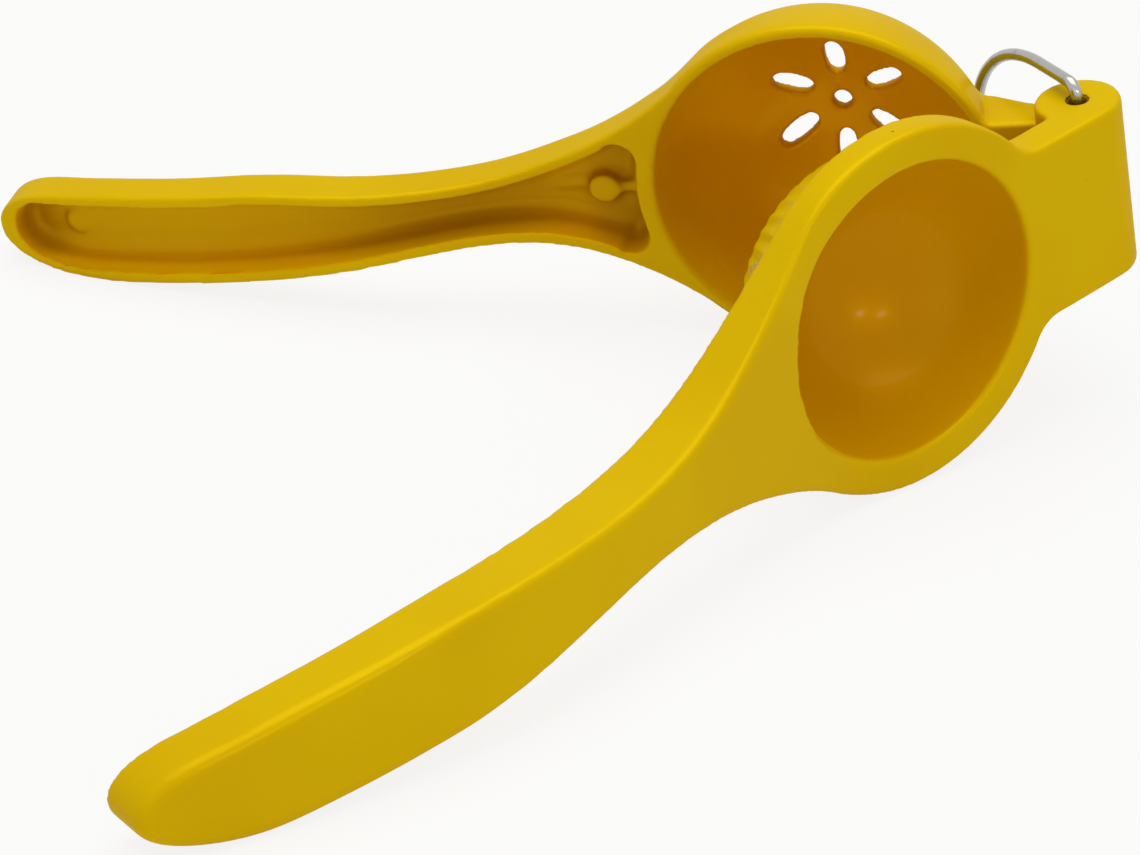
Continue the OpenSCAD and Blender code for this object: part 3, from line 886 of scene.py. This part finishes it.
def makeEnamel(name, side, half):
    # chips and the patches of worn paint and painted highlight are given in the half's own frame and
    # millimetres
    e = enamel
    material, shader, place = newMaterial(name, {
        "Metallic": e["sheen"], "Specular IOR Level": 0.0, "Coat Roughness": e["coatRoughness"]})
    here = place.make("ShaderNodeMapping", {"vector_type": "TEXTURE"}, {
        "Vector": place, "Location": hingeAt, "Rotation": turnHalf(side).to_euler(),
        "Scale": (mm, side * mm, mm)})
    z = here.parts()[2]
    colour = place.noise(e["toneScale"], 2).spread(*e["toneShare"]).mix(e["yellow"], e["warmer"])
    # painted shade: the enamel turns a deeper orange in the hollows, by how much of the casting stands near
    colour = place.openness(e["hollowReach"]).spread(*e["hollowShare"]).mix(half["paintedHollowShade"], colour)
    # painted shade: darker in tight corners and creases, by how much of the casting stands close
    colour = place.openness(e["cornerReach"]).spread(*e["cornerShare"]).mix(e["corner"], colour)
    wearAndHighlight = 0
    # pale patches on the dome's scallops: painted highlight with worn paint
    for at, size in half["wearAndHighlightAt"]:
        wearAndHighlight = here.near(at, size, e["wearAndHighlightRagged"]) + wearAndHighlight
    if half["wearAndHighlightAt"]:
        patchy = here.noise(e["wearAndHighlightScale"], 3).spread(*e["wearAndHighlightShare"])
        colour = (wearAndHighlight * patchy).mix(colour, e["wearAndHighlight"])
    flat = here.make("ShaderNodeVectorMath", {"operation": "MULTIPLY"}, {0: here, 1: (1, 1, 0)})
    fromHinge = place.make("ShaderNodeVectorMath", {"operation": "LENGTH"}, {0: flat}, 1)
    # a near-black ring round the bore on the ears' outer faces: painted shade at the bore's mouth round the
    # wire, with chipped paint
    edge = (fromHinge + here.noise(e["boreScale"], 3) * e["boreRagged"]).spread(*e["boreEdge"])
    chipsAndBoreShade = edge * (z * z).spread(*e["earFace"])
    for at, size in half["chips"]:
        chipsAndBoreShade = here.near(at, size, e["chipRagged"]) + chipsAndBoreShade
    feed(shader, "Base Color", chipsAndBoreShade.mix(colour, e["chipsAndBoreShade"]))
    smears = place.noise(e["smearScale"], 1)
    duller = (e["roughness"] - e["smoother"], e["roughness"] + e["rougher"])
    gloss = smears.spread(*e["smearShare"], *duller)
    feed(shader, "Roughness", gloss + chipsAndBoreShade * e["bareRoughness"])
    feed(shader, "Coat Weight", (1 - chipsAndBoreShade) * e["coat"])
    ripple = place.noise(e["rippleScale"], 2) * e["ripple"] - chipsAndBoreShade * e["bareDepth"]
    bump = place.make("ShaderNodeBump", {}, {
        "Height": ripple, "Strength": e["bump"], "Distance": e["bumpHeight"]})
    feed(shader, "Normal", bump)
    return material


chrome = {
    "metal": (0.42, 0.415, 0.40, 1),
    "dull": (0.33, 0.325, 0.305, 1),
    "roughness": 0.17,
    "rougher": 0.12,
    "wearScale": 260,
    "wearGrain": (4, 0.65),        # detail and roughness of the wear's noise
    "dullShare": (0.5, 0.72),
    "roughShare": (0.35, 0.75),
    "grainScale": 1400,
    "bump": 0.1,
    "bumpHeight": 0.0002,
}


def makeChrome():
    c = chrome
    material, shader, place = newMaterial("platedWire", {"Metallic": 1.0})
    wear = place.noise(c["wearScale"], *c["wearGrain"])
    feed(shader, "Base Color", wear.spread(*c["dullShare"]).mix(c["metal"], c["dull"]))
    rough = wear.spread(*c["roughShare"], c["roughness"], c["roughness"] + c["rougher"])
    feed(shader, "Roughness", rough)
    bump = place.make("ShaderNodeBump", {}, {
        "Height": place.noise(c["grainScale"], 3), "Strength": c["bump"], "Distance": c["bumpHeight"]})
    feed(shader, "Normal", bump)
    return material


press = makePress()
cup = makeCup()
ring = makeRing()
print("pieces made")

pressEnamel = makeEnamel("pressEnamel", 1, pressHalf)
cupEnamel = makeEnamel("cupEnamel", -1, cupHalf)
chromeMaterial = makeChrome()
for piece, node, slot, material in (
        (press, "press_half", "yellow_enamel", pressEnamel),
        (cup, "cup_half", "yellow_enamel", cupEnamel),
        (ring, "wire_ring", "plated_wire", chromeMaterial)):
    piece.data.materials.clear()
    piece.data.materials.append(material)
    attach(piece, node)
    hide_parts(node)
print("materials made")


studio = {
    "floor": (0.86, 0.86, 0.86, 1),
    "floorSize": 6,
    "floorGap": 0.0002,
    "floorGlow": 0.85,       # how much of the floor the camera sees as plain white
    "world": 0.37,
    "fill": (1.0, 0.94, 0.86),
    "daylight": (0.94, 1.0, 0.92),
    "cameraAt": (-0.111869, -0.501172, 0.306985),
    "azimuth": 12.0279,
    "down": 30.4482,
    "roll": 0.3897,
    "lens": 101.82,
    "sensor": 36,
}

lamps = {
    "topSoftbox": {
        "at": (0.0, 0.08, 1.1),
        "aim": (0, 0, 0),
        "size": (1.3, 1.0),
        "power": 8.3,
        "colour": studio["daylight"],
    },
    "sideSoftbox": {
        "at": (-0.55, -0.95, 0.45),
        "aim": (0.03, 0.03, 0.03),
        "size": (0.7, 0.5),
        "power": 0.4,
        "colour": studio["fill"],
    },
    "leftWindow": {
        "at": (0.50, -0.81, 0.40),
        "aim": (0.05, 0, 0.02),
        "size": (0.12, 0.06),
        "power": 0.4,
        "colour": (1, 1, 1),
    },
    "rightWindow": {
        "at": (0.23, -0.87, 0.47),
        "aim": (0.05, 0, 0.02),
        "size": (0.12, 0.06),
        "power": 0.4,
        "colour": (1, 1, 1),
    },
}


def seenDirectly(tree):
    # 1 for rays that show the background itself: camera, mirror and glass rays
    path = tree.nodes.new("ShaderNodeLightPath")
    camera = Signal(tree, path.outputs["Is Camera Ray"])
    glossy = Signal(tree, path.outputs["Is Glossy Ray"])
    through = Signal(tree, path.outputs["Is Transmission Ray"])
    return camera.sum("MAXIMUM", camera.sum("MAXIMUM", camera, glossy), through)


def makeFloor():
    bm = bmesh.new()
    bmesh.ops.create_grid(bm, x_segments=1, y_segments=1, size=studio["floorSize"])
    bmesh.ops.translate(bm, verts=bm.verts, vec=(0, 0, cadBox[0][2] - studio["floorGap"]))
    floor = newPiece("floor", bm)
    material = bpy.data.materials.new("paleFloor")
    material.use_nodes = True
    tree = material.node_tree
    tree.nodes.clear()
    seen = seenDirectly(tree)
    output = tree.nodes.new("ShaderNodeOutputMaterial")
    matt = seen.make("ShaderNodeBsdfDiffuse", {}, {"Color": studio["floor"]})
    glow = seen.make("ShaderNodeEmission", {}, {"Color": (1, 1, 1, 1), "Strength": 1.0})
    mixed = seen.make("ShaderNodeMixShader", {}, {0: seen * studio["floorGlow"], 1: matt, 2: glow})
    tree.links.new(mixed.socket, output.inputs["Surface"])
    floor.data.materials.append(material)


def makeWorld():
    world = bpy.data.worlds.new("studioWorld")
    bpy.context.scene.world = world
    world.use_nodes = True
    tree = world.node_tree
    sky = tree.nodes["Background"]
    seen = seenDirectly(tree)
    strength = seen * (1 - studio["world"]) + studio["world"]
    tree.links.new(strength.socket, sky.inputs["Strength"])
    tree.links.new(seen.mix(studio["fill"] + (1,), (1, 1, 1, 1)).socket, sky.inputs["Color"])


def makeLamp(name, at, aim, size, power, colour):
    lamp = bpy.data.lights.new(name, "AREA")
    lamp.shape = "RECTANGLE"
    lamp.size, lamp.size_y = size
    lamp.energy = power
    lamp.color = colour
    holder = bpy.data.objects.new(name, lamp)
    bpy.context.scene.collection.objects.link(holder)
    holder.location = at
    holder.rotation_euler = (Vector(aim) - Vector(at)).to_track_quat("-Z", "Y").to_euler()


def makeCamera():
    data = bpy.data.cameras.new("camera")
    data.lens = studio["lens"]
    data.sensor_width = studio["sensor"]
    camera = bpy.data.objects.new("camera", data)
    bpy.context.scene.collection.objects.link(camera)
    turn = (Matrix.Rotation(-math.radians(studio["azimuth"]), 4, "Z")
            @ Matrix.Rotation(math.radians(90 - studio["down"]), 4, "X")
            @ Matrix.Rotation(math.radians(studio["roll"]), 4, "Z"))
    camera.matrix_world = Matrix.Translation(studio["cameraAt"]) @ turn
    bpy.context.scene.camera = camera


makeFloor()
makeWorld()
for name, lamp in lamps.items():
    makeLamp(name, **lamp)
makeCamera()
bpy.context.scene.view_settings.view_transform = "Standard"
print("stage, lamps and camera made")
